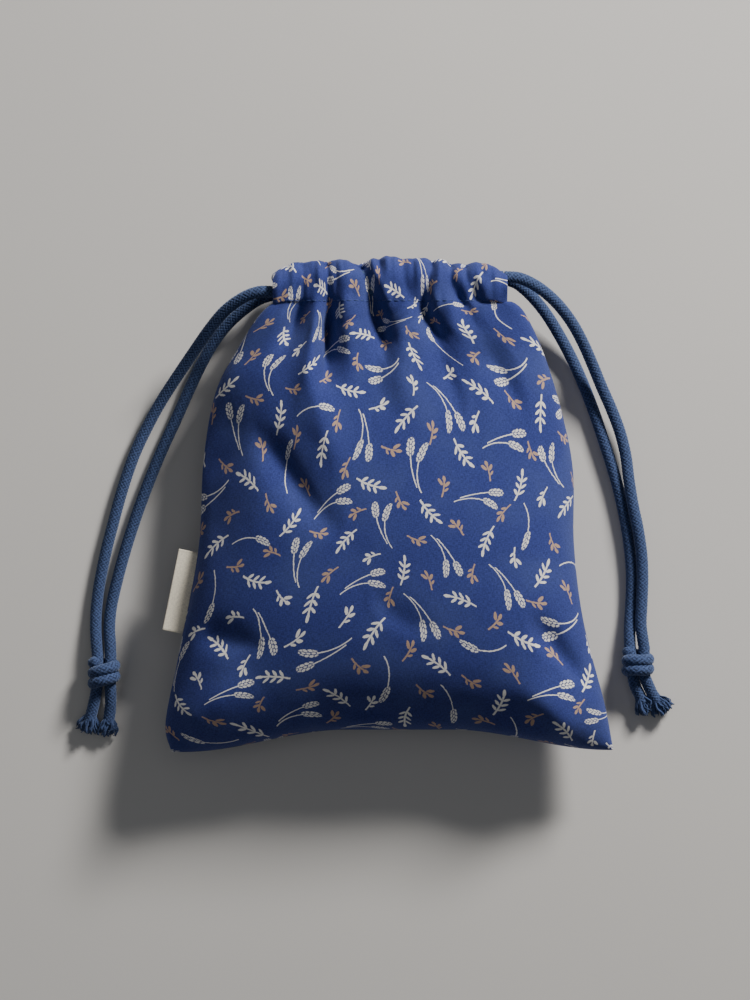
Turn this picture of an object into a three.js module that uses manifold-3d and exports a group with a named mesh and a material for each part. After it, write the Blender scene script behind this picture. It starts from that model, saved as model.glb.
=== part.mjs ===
// Kinchaku drawstring pouch: two printed cotton panels sewn into a bag, a casing folded over at the
// mouth of each, and two braided drawstrings that run through both casings and leave at opposite sides.
// Millimetres, +Z up. The pouch lies on its back panel, with its mouth towards +Y.
// The origin is on the surface it lies on, under the middle of the pouch.

import * as THREE from 'three';
import { mergeVertices } from 'three/addons/utils/BufferGeometryUtils.js';
import Module from 'manifold-3d';

const wasm = await Module();
wasm.setup();

// Driving dimensions
const CLOTH = 1.1; // panel wall, with its seam allowance
const GAP = 0.3; // clearance between touching pieces
const SEAM_HEIGHT = 26; // side and bottom seam above the surface
const FRONT_RISE = 37; // crown of the front panel above the seam
const BACK_DROP = 35; // belly of the back panel below the seam, before the surface flattens it
const BOTTOM_MIDDLE = -112.3;
const CORNER_Y = -123.5;
const CORNER_WIDTH_POWER = 1.6; // how far in from the corners the bottom edge stays low
const STITCH_Y = 101; // row of stitches that closes the casing
const PANEL_TOP_Y = 104; // where the dome of a panel runs into its casing
const PLEATS = 9;
const PLEAT_DEPTH = 1.5;
const PLEATS_BEGIN = 0.5; // share of the panel's height where the gathers start

const CORD = 6; // drawstring diameter
const CASING_MIDDLE_Y = 111;
const CASING_HALF_DEPTH = 10.4; // channel, across the mouth
const CASING_HALF_HEIGHT = 4.8; // channel, through the gathers
const CASING_HALF_WIDTH = 57; // gathered width of the mouth
const CASING_OFFSET = 11; // channel's middle above or below the seam height
const HEM_HALF_WIDTH = 43; // the hem's inner layer stops short of the side slits
const FOLD_RUFFLE = 0.9; // waviness of the folded top edge
const LEFT_RUN_Y = 106; // the left drawstring's place in the casings
const RIGHT_RUN_Y = 113.5;
const TURN_X = 52; // where a drawstring turns back from one casing to the other
const TURN_REACH = 5; // how far that turn bulges past TURN_X

const THREAD = 0.6;
const THREAD_LIFT = 0.75; // thread's middle above the cloth
const THREAD_HALF_SPAN = 42;
const LABEL_LENGTH = 41.5;
const LABEL_WIDTH = 7.8;
const LABEL_TAPE = 0.6;
const LABEL_LOOP = 2.4;
const LABEL_TOP = [-96.9, -24]; // upper end of the label, beside the left seam
const LABEL_TILT = -0.2; // radians; the label follows the seam

const COLUMNS = 36;
const ROWS = 10;
const CORD_SIDES = 8;
const CORD_STEPS = 64;

// Materials
const printedCotton = new THREE.MeshStandardMaterial({ color: 0x2b437f, roughness: 0.9, metalness: 0 });
const braidedCotton = new THREE.MeshStandardMaterial({ color: 0x2c4a78, roughness: 0.95, metalness: 0 });
const sewingThread = new THREE.MeshStandardMaterial({ color: 0x24386e, roughness: 0.7, metalness: 0 });
const wovenTape = new THREE.MeshStandardMaterial({ color: 0xe1d7c3, roughness: 0.85, metalness: 0 });

// Helpers
function toSolid(geometry) {
  const bare = geometry.index ? geometry.toNonIndexed() : geometry.clone();
  for (const name of Object.keys(bare.attributes)) {
    if (name !== 'position') bare.deleteAttribute(name);
  }
  const merged = mergeVertices(bare, 1e-4);
  return new wasm.Manifold(new wasm.Mesh({
    numProp: 3,
    vertProperties: new Float32Array(merged.attributes.position.array),
    triVerts: new Uint32Array(merged.index.array),
  }));
}

function toGeometry(solid) {
  const mesh = solid.getMesh();
  const geometry = new THREE.BufferGeometry();
  geometry.setAttribute('position', new THREE.BufferAttribute(new Float32Array(mesh.vertProperties), 3));
  geometry.setIndex(new THREE.BufferAttribute(new Uint32Array(mesh.triVerts), 1));
  geometry.computeVertexNormals();
  return geometry;
}

function box(low, high) {
  const size = high.map((value, axis) => value - low[axis]);
  const geometry = new THREE.BoxGeometry(...size);
  geometry.translate(...low.map((value, axis) => value + size[axis] / 2));
  return geometry;
}

// A closed solid between two sheets that share one grid, walled in round its four sides.
function solidBetween(upper, lower, columns, rows) {
  const positions = [];
  const index = [];
  const layer = (columns + 1) * (rows + 1);
  const at = (sheet, column, row) => sheet * layer + row * (columns + 1) + column;
  for (const sheet of [upper, lower]) {
    for (let row = 0; row <= rows; row += 1) {
      for (let column = 0; column <= columns; column += 1) {
        positions.push(...sheet(column / columns, row / rows));
      }
    }
  }
  const quad = (a, b, c, d) => index.push(a, b, c, a, c, d);
  for (let row = 0; row < rows; row += 1) {
    for (let column = 0; column < columns; column += 1) {
      quad(at(0, column, row), at(0, column + 1, row), at(0, column + 1, row + 1), at(0, column, row + 1));
      quad(at(1, column, row), at(1, column, row + 1), at(1, column + 1, row + 1), at(1, column + 1, row));
    }
    quad(at(1, 0, row), at(0, 0, row), at(0, 0, row + 1), at(1, 0, row + 1));
    quad(at(0, columns, row), at(1, columns, row), at(1, columns, row + 1), at(0, columns, row + 1));
  }
  for (let column = 0; column < columns; column += 1) {
    quad(at(0, column, 0), at(1, column, 0), at(1, column + 1, 0), at(0, column + 1, 0));
    quad(at(1, column, rows), at(0, column, rows), at(0, column + 1, rows), at(1, column + 1, rows));
  }
  const geometry = new THREE.BufferGeometry();
  geometry.setAttribute('position', new THREE.Float32BufferAttribute(positions, 3));
  geometry.setIndex(index);
  return geometry;
}

// Shape of the pouch: u runs across from -1 to 1, v up from the bottom seam (0) to the casing (1).
const sideCurve = (points) => new THREE.CatmullRomCurve3(points.map(([x, y]) => new THREE.Vector3(x, y, 0)));
const leftEdge = sideCurve([
  [-109.5, CORNER_Y], [-112.3, -110], [-106, -75], [-96.5, -24],
  [-93, 22], [-86.5, 58], [-73, 82], [-57, PANEL_TOP_Y],
]);
const rightEdge = sideCurve([
  [112.8, CORNER_Y], [109, -102], [98, -62], [92.5, -20],
  [92, 18], [84, 55], [71, 87], [57, PANEL_TOP_Y],
]);

function gathers(across, v) {
  const strength = THREE.MathUtils.smoothstep(v, PLEATS_BEGIN, 1);
  return PLEAT_DEPTH * strength * Math.cos(PLEATS * Math.PI * across);
}

function rimHeight(v) {
  return SEAM_HEIGHT + 7 * THREE.MathUtils.smoothstep(v, 0.84, 1);
}

// Height of a panel's outer face above its seam line's level; inset moves it in by a wall's thickness.
function crown(u, v, rise, inset) {
  const opening = 1 - Math.min(v / 0.4, 1);
  const closed = Math.sqrt(1 - opening * opening);
  const atCasing = CASING_OFFSET + CASING_HALF_HEIGHT + CLOTH - 0.4;
  const ridge = THREE.MathUtils.lerp(rise * closed, atCasing, THREE.MathUtils.smoothstep(v, 0.4, 1));
  const squareness = THREE.MathUtils.lerp(2.2, 5, THREE.MathUtils.smoothstep(v, 0.6, 1));
  const across = Math.pow(1 - Math.pow(Math.abs(u), squareness), 1 / squareness);
  return Math.max(ridge - inset, 0) * across;
}

function outlinePoint(u, v, inset) {
  const side = (u < 0 ? leftEdge : rightEdge).getPointAt(v);
  const middleY = THREE.MathUtils.lerp(BOTTOM_MIDDLE, PANEL_TOP_Y, v);
  const y = middleY + (side.y - middleY) * Math.pow(Math.abs(u), CORNER_WIDTH_POWER);
  const x = Math.abs(u) * (side.x - Math.sign(side.x) * inset);
  return [x, y + inset];
}

// A panel's filled-in form: its face on top, flattened at floor, and its rim or cut depth underneath.
function panelForm(rise, inset, rimLow, rimTall, floor) {
  const place = (a, b, sheet) => {
    const across = 2 * a - 1;
    const u = Math.sin(across * Math.PI / 2);
    const v = Math.pow(b, 1.5);
    const [x, y] = outlinePoint(u, v, inset);
    const level = rimHeight(v);
    if (sheet === 'lower') return [x, y, level + rimLow];
    const crest = level - SEAM_HEIGHT;
    const height = crown(u, v, rise, inset);
    const fold = gathers(across, v) * Math.min(height / 8, 1);
    const z = level + rimLow + rimTall + Math.max(height - crest * Math.min(height / 12, 1), 0) + fold;
    return [x, y, Math.min(z, floor - inset)];
  };
  return solidBetween((a, b) => place(a, b, 'upper'), (a, b) => place(a, b, 'lower'), COLUMNS, ROWS);
}

// The casing: a flattened tube across the mouth. Its outer layer is gathered and its fold is ruffled.
function casingForm(halfDepth, halfHeight, halfWidth) {
  const section = new THREE.Shape();
  const sides = 10;
  for (let corner = 0; corner < sides; corner += 1) {
    const angle = corner * 2 * Math.PI / sides;
    const round = (value) => Math.sign(value) * Math.pow(Math.abs(value), 0.75);
    const point = [halfDepth * round(Math.cos(angle)), halfHeight * round(Math.sin(angle))];
    if (corner === 0) section.moveTo(...point);
    else section.lineTo(...point);
  }
  section.closePath();
  const settings = { depth: 2 * halfWidth, steps: COLUMNS, bevelEnabled: false };
  const geometry = new THREE.ExtrudeGeometry(section, settings);
  const position = geometry.attributes.position;
  for (let corner = 0; corner < position.count; corner += 1) {
    const x = position.getZ(corner) - halfWidth;
    const depth = position.getX(corner);
    const height = position.getY(corner);
    const across = Math.asin(THREE.MathUtils.clamp(x / CASING_HALF_WIDTH, -1, 1)) * 2 / Math.PI;
    const wave = Math.cos(PLEATS * Math.PI * across);
    const outerLayer = Math.max(height / CASING_HALF_HEIGHT, 0);
    const y = CASING_MIDDLE_Y + depth + FOLD_RUFFLE * wave * Math.max(depth / CASING_HALF_DEPTH, 0);
    const z = SEAM_HEIGHT + CASING_OFFSET + height + PLEAT_DEPTH * wave * outerLayer;
    position.setXYZ(corner, x, y, z);
  }
  return geometry;
}

// One panel, built as the front. floor is the height that its face is flattened at.
function buildPanel(rise, floor) {
  const outside = toSolid(panelForm(rise, 0, GAP / 2, 0.6, floor));
  const inside = toSolid(panelForm(rise, CLOTH, -6, 6.6, floor));
  const tube = toSolid(casingForm(CASING_HALF_DEPTH + CLOTH, CASING_HALF_HEIGHT + CLOTH, CASING_HALF_WIDTH));
  const channel = toSolid(casingForm(CASING_HALF_DEPTH, CASING_HALF_HEIGHT, CASING_HALF_WIDTH + 6));
  let panel = outside.subtract(inside).add(tube).subtract(channel);
  const slitLow = SEAM_HEIGHT - 2;
  const slitHigh = SEAM_HEIGHT + CASING_OFFSET;
  for (const side of [-1, 1]) {
    const ends = [side * HEM_HALF_WIDTH, side * (CASING_HALF_WIDTH + 12)].sort((a, b) => a - b);
    const slit = box([ends[0], STITCH_Y + 0.8, slitLow], [ends[1], CASING_MIDDLE_Y + 8, slitHigh]);
    panel = panel.subtract(toSolid(slit));
  }
  return panel;
}

function mirrorBelowSeam(solid) {
  return solid.mirror([0, 0, 1]).translate([0, 0, 2 * SEAM_HEIGHT]);
}

// A round cord along a smooth curve through chosen points.
function cordGeometry(points, diameter, steps, sides) {
  const section = new THREE.Shape();
  for (let corner = 0; corner < sides; corner += 1) {
    const angle = corner * 2 * Math.PI / sides;
    const point = [diameter / 2 * Math.cos(angle), diameter / 2 * Math.sin(angle)];
    if (corner === 0) section.moveTo(...point);
    else section.lineTo(...point);
  }
  section.closePath();
  const path = new THREE.CatmullRomCurve3(points.map((point) => new THREE.Vector3(...point)));
  return new THREE.ExtrudeGeometry(section, { steps, extrudePath: path, bevelEnabled: false });
}

// Drawstring routes outside the casings, from the exit to the knot. The upper strand leaves the front
// casing and the lower strand the back casing.
const UPPER_RUN_Z = SEAM_HEIGHT + CASING_OFFSET;
const LOWER_RUN_Z = SEAM_HEIGHT - CASING_OFFSET;

const leftUpperStrand = [
  [-57, 106, 37], [-65, 106, 36.4], [-73, 103.2, 34], [-82, 97, 29.4], [-90, 88, 23.6],
  [-98.5, 76.5, 16.6], [-107, 64.5, 10.6], [-115, 52.5, 6.2], [-122, 40, 3.9], [-129, 25, 3.2],
  [-135, 7.5, 3.2], [-139.5, -9, 3.2], [-143.3, -24, 3.2], [-146.5, -40, 3.2], [-148, -52, 3.6],
  [-148.3, -62, 4.8], [-147.8, -70, 6.2], [-147.2, -76, 7],
];
const leftLowerStrand = [
  [-57, 106, 15], [-65, 103.6, 14.2], [-73, 98.5, 12.2], [-81.5, 91, 9.2], [-89, 81.5, 6.4],
  [-95, 71, 4.6], [-101, 58.5, 3.4], [-107, 45, 3.2], [-113, 32, 3.2], [-119, 18, 3.2],
  [-125, 2.5, 3.2], [-130, -12, 3.2], [-134.3, -26, 3.2], [-138, -40, 3.2], [-140.6, -52, 3.4],
  [-141.4, -62, 4.6], [-140.9, -70, 6.2], [-140.6, -76, 7],
];
const rightUpperStrand = [
  [57, 113.5, 37], [65.5, 112.6, 36.4], [75, 107.8, 34], [84, 100.2, 30], [91.3, 91.2, 25],
  [97, 81.5, 19.8], [102, 71, 14.6], [107, 59.5, 10.4], [112, 48.5, 7.8], [116.4, 37, 6.6],
  [119.4, 25, 6.3], [121, 12.5, 6.8], [123, 0, 7.2], [125.6, -12.5, 7.2], [127.4, -25, 7],
  [127.9, -37, 7], [127.5, -49, 7.2], [127, -60, 7.6], [127.8, -67, 8], [128.6, -72.4, 8],
];
const rightLowerStrand = [
  [57, 113.5, 15], [64, 111.4, 14.4], [71.5, 105.2, 12.6], [79, 96.4, 9.8], [86, 85.4, 6.8],
  [92.5, 73.4, 4.6], [98.4, 60.4, 3.4], [103.8, 46.4, 3.2], [108.3, 33, 3.2], [112.3, 20.6, 3.2],
  [115.8, 8.4, 3.2], [118.6, -4, 3.2], [120.8, -16, 3.2], [122.2, -28, 3.2], [122.6, -40, 3.2],
  [122.2, -51, 3.4], [121.6, -60, 4.6], [121.4, -67, 6], [121.6, -72.4, 6.6],
];

// The part of a drawstring inside the casings: along one, round the far side slit and back along the other.
function casingRun(exitSide, runY) {
  const points = [];
  for (let step = 1; step <= 7; step += 1) {
    const share = step / 7;
    points.push([exitSide * THREE.MathUtils.lerp(CASING_HALF_WIDTH, -TURN_X, share), runY, UPPER_RUN_Z]);
  }
  const turns = 6;
  for (let step = 1; step < turns; step += 1) {
    const angle = Math.PI * step / turns;
    const x = -exitSide * (TURN_X + TURN_REACH * Math.sin(angle));
    points.push([x, runY, SEAM_HEIGHT + CASING_OFFSET * Math.cos(angle)]);
  }
  for (let step = 0; step < 7; step += 1) {
    const share = step / 7;
    points.push([exitSide * THREE.MathUtils.lerp(-TURN_X, CASING_HALF_WIDTH, share), runY, LOWER_RUN_Z]);
  }
  return points;
}

function drawstring(upperStrand, lowerStrand, exitSide, runY) {
  const route = [...upperStrand].reverse().concat(casingRun(exitSide, runY), lowerStrand);
  return cordGeometry(route, CORD, CORD_STEPS, CORD_SIDES);
}

// A knot of two wraps round both strands, with two frayed tails below it. It is built hanging down -Y
// with its top face at the origin, and lies on the surface.
const KNOT_WRAP_RADIUS = 5;
const KNOT_WRAP_CORD = 3;
const KNOT_MIDDLE_Z = 8;
const KNOT_DEPTH = 16;

function knotSolid(tails) {
  let knot = null;
  const add = (geometry) => {
    const solid = toSolid(geometry);
    knot = knot ? knot.add(solid) : solid;
  };
  const core = new THREE.CylinderGeometry(KNOT_WRAP_RADIUS + 0.6, KNOT_WRAP_RADIUS + 0.6, KNOT_DEPTH - 3, 12);
  core.translate(0, -KNOT_DEPTH / 2, KNOT_MIDDLE_Z);
  add(core);
  for (const y of [-KNOT_WRAP_CORD - 1.6, -KNOT_DEPTH + KNOT_WRAP_CORD + 1.6]) {
    const wrap = new THREE.TorusGeometry(KNOT_WRAP_RADIUS, KNOT_WRAP_CORD, 8, 14);
    wrap.rotateX(Math.PI / 2);
    wrap.rotateZ(-0.12);
    wrap.translate(0, y, KNOT_MIDDLE_Z);
    add(wrap);
  }
  for (const { route, spread } of tails) {
    add(cordGeometry(route, CORD, 6, CORD_SIDES));
    const [x, y, z] = route[route.length - 1];
    const fray = new THREE.CylinderGeometry(CORD / 2 - 0.2, spread, 9, 10);
    fray.scale(1, 1, 0.66);
    const previous = route[route.length - 2];
    fray.rotateZ(Math.atan2(x - previous[0], previous[1] - y));
    fray.translate(x, y - 2, z);
    add(fray);
  }
  return knot;
}

const leftTails = [
  { route: [[-3, -13, 8], [-4, -19, 6.8], [-6, -25, 5.4], [-8, -30, 4.6]], spread: 5.6 },
  { route: [[3.2, -13, 8], [3.4, -20, 6.8], [3.2, -26, 5.4], [2.6, -32, 4.6]], spread: 5.4 },
];
const rightTails = [
  { route: [[-2.6, -13, 8], [-1.6, -18, 6.8], [0.2, -22, 5.4], [2, -26, 4.6]], spread: 5.2 },
  { route: [[3.2, -13, 8], [5.4, -18, 6.8], [8.4, -22, 5.4], [11.5, -25.5, 4.6]], spread: 5.2 },
];

// A thread laid on the front panel along the casing's stitch row, following its gathers.
function casingThread(panelMesh) {
  const caster = new THREE.Raycaster();
  const down = new THREE.Vector3(0, 0, -1);
  const stops = 60;
  const points = [];
  for (let stop = 0; stop <= stops; stop += 1) {
    const x = THREE.MathUtils.lerp(-THREAD_HALF_SPAN, THREAD_HALF_SPAN, stop / stops);
    caster.set(new THREE.Vector3(x, STITCH_Y, 200), down);
    points.push([x, STITCH_Y, caster.intersectObject(panelMesh)[0].point.z + THREAD_LIFT]);
  }
  return cordGeometry(points, THREAD, stops, 4);
}

// The thread that joins the panels, just inside the seam: down one side, along the bottom and up the other.
function seamThread() {
  const inset = CLOTH + 3.6;
  const points = [];
  const sideStops = 14;
  for (let stop = 0; stop <= sideStops; stop += 1) {
    const [x, y] = outlinePoint(-1, THREE.MathUtils.lerp(0.82, 0.015, stop / sideStops), inset);
    points.push([x, y, SEAM_HEIGHT]);
  }
  const bottomStops = 14;
  for (let stop = 1; stop < bottomStops; stop += 1) {
    const [x, y] = outlinePoint(THREE.MathUtils.lerp(-1, 1, stop / bottomStops), 0.004, inset);
    points.push([x, y, SEAM_HEIGHT]);
  }
  for (let stop = 0; stop <= sideStops; stop += 1) {
    const [x, y] = outlinePoint(1, THREE.MathUtils.lerp(0.015, 0.82, stop / sideStops), inset);
    points.push([x, y, SEAM_HEIGHT]);
  }
  return cordGeometry(points, THREAD, 90, 4);
}

// A tape folded double into a flat loop; the fold stands out from the side seam.
function labelGeometry() {
  const half = LABEL_LOOP / 2;
  const inner = half - LABEL_TAPE;
  const straight = LABEL_WIDTH - half;
  const section = new THREE.Shape();
  section.moveTo(0, half);
  section.lineTo(0, inner);
  section.lineTo(-straight, inner);
  section.absarc(-straight, 0, inner, Math.PI / 2, 3 * Math.PI / 2, false);
  section.lineTo(0, -inner);
  section.lineTo(0, -half);
  section.lineTo(-straight, -half);
  section.absarc(-straight, 0, half, 3 * Math.PI / 2, Math.PI / 2, true);
  section.closePath();
  const settings = { depth: LABEL_LENGTH, bevelEnabled: false, curveSegments: 6 };
  const geometry = new THREE.ExtrudeGeometry(section, settings);
  return geometry.rotateX(Math.PI / 2);
}

// Assembly
const pouch = new THREE.Group();

function place(name, geometry, material, parent = pouch) {
  const mesh = new THREE.Mesh(geometry, material);
  mesh.name = name;
  parent.add(mesh);
  return mesh;
}

const frontPanel = place('front_panel', toGeometry(buildPanel(FRONT_RISE, Infinity)), printedCotton);
place('back_panel', toGeometry(mirrorBelowSeam(buildPanel(BACK_DROP, 2 * SEAM_HEIGHT))), printedCotton);

const frontThread = casingThread(frontPanel);
place('front_casing_thread', frontThread, sewingThread);
place('back_casing_thread', toGeometry(mirrorBelowSeam(toSolid(frontThread))), sewingThread);
place('seam_thread', seamThread(), sewingThread);

place('left_drawstring', drawstring(leftUpperStrand, leftLowerStrand, -1, LEFT_RUN_Y), braidedCotton);
place('right_drawstring', drawstring(rightUpperStrand, rightLowerStrand, 1, RIGHT_RUN_Y), braidedCotton);
place('left_knot', toGeometry(knotSolid(leftTails)), braidedCotton).position.set(-144, -76.4, 0);
place('right_knot', toGeometry(knotSolid(rightTails)), braidedCotton).position.set(125.4, -72.8, 0);

const label = place('side_label', labelGeometry(), wovenTape);
label.position.set(LABEL_TOP[0], LABEL_TOP[1], SEAM_HEIGHT);
label.rotation.z = LABEL_TILT;

export default pouch;
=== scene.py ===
"""Kinchaku drawstring pouch: cloth, cords, knots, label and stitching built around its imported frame."""

import math
import random

import bmesh
import bpy
import numpy as np
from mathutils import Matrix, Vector


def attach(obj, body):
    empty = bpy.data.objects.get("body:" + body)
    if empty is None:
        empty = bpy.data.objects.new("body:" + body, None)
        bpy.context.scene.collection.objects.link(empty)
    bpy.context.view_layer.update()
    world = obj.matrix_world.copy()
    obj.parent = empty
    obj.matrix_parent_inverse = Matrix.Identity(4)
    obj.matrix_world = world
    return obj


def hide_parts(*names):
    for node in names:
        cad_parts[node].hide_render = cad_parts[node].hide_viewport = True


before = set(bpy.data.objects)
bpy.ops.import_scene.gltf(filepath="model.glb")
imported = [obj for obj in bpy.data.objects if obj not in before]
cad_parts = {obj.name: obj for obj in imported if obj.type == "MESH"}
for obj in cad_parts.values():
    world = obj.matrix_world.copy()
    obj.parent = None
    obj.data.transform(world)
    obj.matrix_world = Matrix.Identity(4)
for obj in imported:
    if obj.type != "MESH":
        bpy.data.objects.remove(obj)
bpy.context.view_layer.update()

bl_info = {
    "name": "Kinchaku Drawstring Pouch",
    "version": (1, 0, 0),
    "blender": (4, 5, 0),
    "location": "View3D > Sidebar > Pouch",
    "description": "Builds a gathered cotton pouch with braided drawstrings",
    "category": "Add Mesh",
}

MM = 0.001
YARNS_PER_FRAY = 110
THICK_YARNS = 60

# Construction, in metres. The routes of the cords are those of the frame's drawstrings.
SEAM_HEIGHT = 26 * MM
CASING_OFFSET = 11 * MM
STITCH_Y = 101 * MM
BOTTOM_MIDDLE_Y = -112.3 * MM
CASING_HALF_WIDTH = 58.5 * MM
TURN_X = 52 * MM
TURN_REACH = 4 * MM
LEFT_RUN_Y = 106 * MM
RIGHT_RUN_Y = 113.5 * MM

LEFT_UPPER_STRAND = [
    (-57, 106, 37), (-65, 106, 36.4), (-73, 103.2, 34), (-82, 97, 29.4), (-90, 88, 23.6),
    (-98.5, 76.5, 16.6), (-107, 64.5, 10.6), (-115, 52.5, 6.2), (-122, 40, 3.9), (-129, 25, 3.2),
    (-135, 7.5, 3.2), (-139.5, -9, 3.2), (-143.3, -24, 3.2), (-146.5, -40, 3.2), (-148, -52, 3.6),
    (-148.3, -62, 4.8), (-147.8, -70, 6.2), (-147.2, -76, 7),
]
LEFT_LOWER_STRAND = [
    (-57, 106, 15), (-65, 103.6, 14.2), (-73, 98.5, 12.2), (-81.5, 91, 9.2), (-89, 81.5, 6.4),
    (-95, 71, 4.6), (-101, 58.5, 3.4), (-107, 45, 3.2), (-113, 32, 3.2), (-119, 18, 3.2),
    (-125, 2.5, 3.2), (-130, -12, 3.2), (-134.3, -26, 3.2), (-138, -40, 3.2), (-140.6, -52, 3.4),
    (-141.4, -62, 4.6), (-140.9, -70, 6.2), (-140.6, -76, 7),
]
RIGHT_UPPER_STRAND = [
    (57, 113.5, 37), (65.5, 112.6, 36.4), (75, 107.8, 34), (84, 100.2, 30), (91.3, 91.2, 25),
    (97, 81.5, 19.8), (102, 71, 14.6), (107, 59.5, 10.4), (112, 48.5, 7.8), (116.4, 37, 6.6),
    (119.4, 25, 6.3), (121, 12.5, 6.8), (123, 0, 7.2), (125.6, -12.5, 7.2), (127.4, -25, 7),
    (127.9, -37, 7), (127.5, -49, 7.2), (127, -60, 7.6), (127.8, -67, 8), (128.6, -72.4, 8),
]
RIGHT_LOWER_STRAND = [
    (57, 113.5, 15), (64, 111.4, 14.4), (71.5, 105.2, 12.6), (79, 96.4, 9.8), (86, 85.4, 6.8),
    (92.5, 73.4, 4.6), (98.4, 60.4, 3.4), (103.8, 46.4, 3.2), (108.3, 33, 3.2), (112.3, 20.6, 3.2),
    (115.8, 8.4, 3.2), (118.6, -4, 3.2), (120.8, -16, 3.2), (122.2, -28, 3.2), (122.6, -40, 3.2),
    (122.2, -51, 3.4), (121.6, -60, 4.6), (121.4, -67, 6), (121.6, -72.4, 6.6),
]

# Each tail runs from inside its knot to the middle of its frayed end.
LEFT_TAILS = [
    [(-147.2, -75.4, 7), (-147, -84, 8), (-147.2, -90, 7.8), (-148.2, -96, 6.6), (-149.8, -103, 5.4),
     (-151.4, -109, 4.8)],
    [(-140.6, -75.4, 7), (-140.8, -84, 8), (-140.8, -90, 7.8), (-140.6, -97, 6.6), (-141, -104, 5.4),
     (-142, -110.6, 4.8)],
]
RIGHT_TAILS = [
    [(121.6, -71.8, 6.6), (122.4, -80, 8), (123, -86, 7.8), (124, -91, 6.6), (126.2, -95.4, 5.4),
     (128.2, -99.6, 4.8)],
    [(128.6, -71.8, 8), (128.4, -80, 8), (128.8, -86, 7.8), (130.8, -91, 6.6), (133, -95.6, 5.4),
     (136, -99.6, 4.8)],
]


class PouchSettings(bpy.types.PropertyGroup):
    """Sizes and colours of the sewn pouch."""

    flat_width: bpy.props.FloatProperty(
        name="Flat width", description="Width that each panel is cut to, inside its seams",
        default=0.228, min=0.1, unit="LENGTH",
    )
    front_rise: bpy.props.FloatProperty(
        name="Front rise", description="Crown of the front panel above the seam",
        default=0.0365, min=0.0, unit="LENGTH",
    )
    back_drop: bpy.props.FloatProperty(
        name="Back drop", description="Belly of the back panel below the seam, before it rests",
        default=0.034, min=0.0, unit="LENGTH",
    )
    cloth_thickness: bpy.props.FloatProperty(
        name="Cloth thickness", description="Thickness of the cotton",
        default=0.0006, min=0.0001, unit="LENGTH",
    )
    cloth_colour: bpy.props.FloatVectorProperty(
        name="Cloth colour", description="Dyed ground of the print",
        default=(0.026, 0.039, 0.182), subtype="COLOR", min=0.0, max=1.0,
    )
    light_print: bpy.props.FloatVectorProperty(
        name="Light print", description="Colour of the larger motifs",
        default=(0.80, 0.78, 0.74), subtype="COLOR", min=0.0, max=1.0,
    )
    tan_print: bpy.props.FloatVectorProperty(
        name="Tan print", description="Colour of the small buds",
        default=(0.47, 0.315, 0.205), subtype="COLOR", min=0.0, max=1.0,
    )


class CordSettings(bpy.types.PropertyGroup):
    """Sizes and colour of the drawstrings."""

    diameter: bpy.props.FloatProperty(
        name="Diameter", description="Diameter of the braided cord",
        default=0.006, min=0.001, unit="LENGTH",
    )
    relief: bpy.props.FloatProperty(
        name="Relief", description="How far the plaited yarns stand out",
        default=0.00048, min=0.0, unit="LENGTH",
    )
    yarn_pitch: bpy.props.FloatProperty(
        name="Yarn pitch", description="Length of cord that one yarn crossing takes",
        default=0.0018, min=0.0005, unit="LENGTH",
    )
    colour: bpy.props.FloatVectorProperty(
        name="Colour", description="Dyed cotton of the cord",
        default=(0.040, 0.064, 0.150), subtype="COLOR", min=0.0, max=1.0,
    )


class TrimSettings(bpy.types.PropertyGroup):
    """The stitching and the side label."""

    stitch_length: bpy.props.FloatProperty(
        name="Stitch length", description="Length of one stitch on the casing row",
        default=0.0026, min=0.0005, unit="LENGTH",
    )
    thread_diameter: bpy.props.FloatProperty(
        name="Thread diameter", description="Diameter of the sewing thread",
        default=0.00045, min=0.0001, unit="LENGTH",
    )
    label_colour: bpy.props.FloatVectorProperty(
        name="Label colour", description="Undyed woven tape",
        default=(0.92, 0.85, 0.69), subtype="COLOR", min=0.0, max=1.0,
    )


# Curves and meshes

def smooth_route(points, step):
    """Points every step metres along a smooth curve through the given points."""
    knots = np.array(points, float)
    padded = np.vstack([2 * knots[0] - knots[1], knots, 2 * knots[-1] - knots[-2]])
    fine = []
    for start in range(len(knots) - 1):
        a, b, c, d = padded[start:start + 4]
        for t in np.linspace(0, 1, 24, endpoint=False):
            fine.append(0.5 * (2 * b + (c - a) * t + (2 * a - 5 * b + 4 * c - d) * t ** 2
                               + (3 * b - a - 3 * c + d) * t ** 3))
    fine.append(knots[-1])
    fine = np.array(fine)
    travelled = np.concatenate([[0], np.cumsum(np.linalg.norm(np.diff(fine, axis=0), axis=1))])
    stops = np.linspace(0, travelled[-1], max(2, int(round(travelled[-1] / step)) + 1))
    return np.column_stack([np.interp(stops, travelled, fine[:, axis]) for axis in range(3)])


def in_metres(points):
    return [tuple(value * MM for value in point) for point in points]


def new_object(name, vertices, faces, material, smooth=True):
    mesh = bpy.data.meshes.new(name)
    mesh.from_pydata([tuple(v) for v in vertices], [], faces)
    mesh.validate()
    if smooth:
        mesh.shade_smooth()
    piece = bpy.data.objects.new(name, mesh)
    bpy.context.scene.collection.objects.link(piece)
    if material:
        mesh.materials.append(material)
    return piece


def select_only(piece):
    bpy.ops.object.select_all(action="DESELECT")
    piece.select_set(True)
    bpy.context.view_layer.objects.active = piece


def join_pieces(pieces, name):
    select_only(pieces[0])
    for piece in pieces:
        piece.select_set(True)
    bpy.ops.object.join()
    pieces[0].name = name
    return pieces[0]


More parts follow.
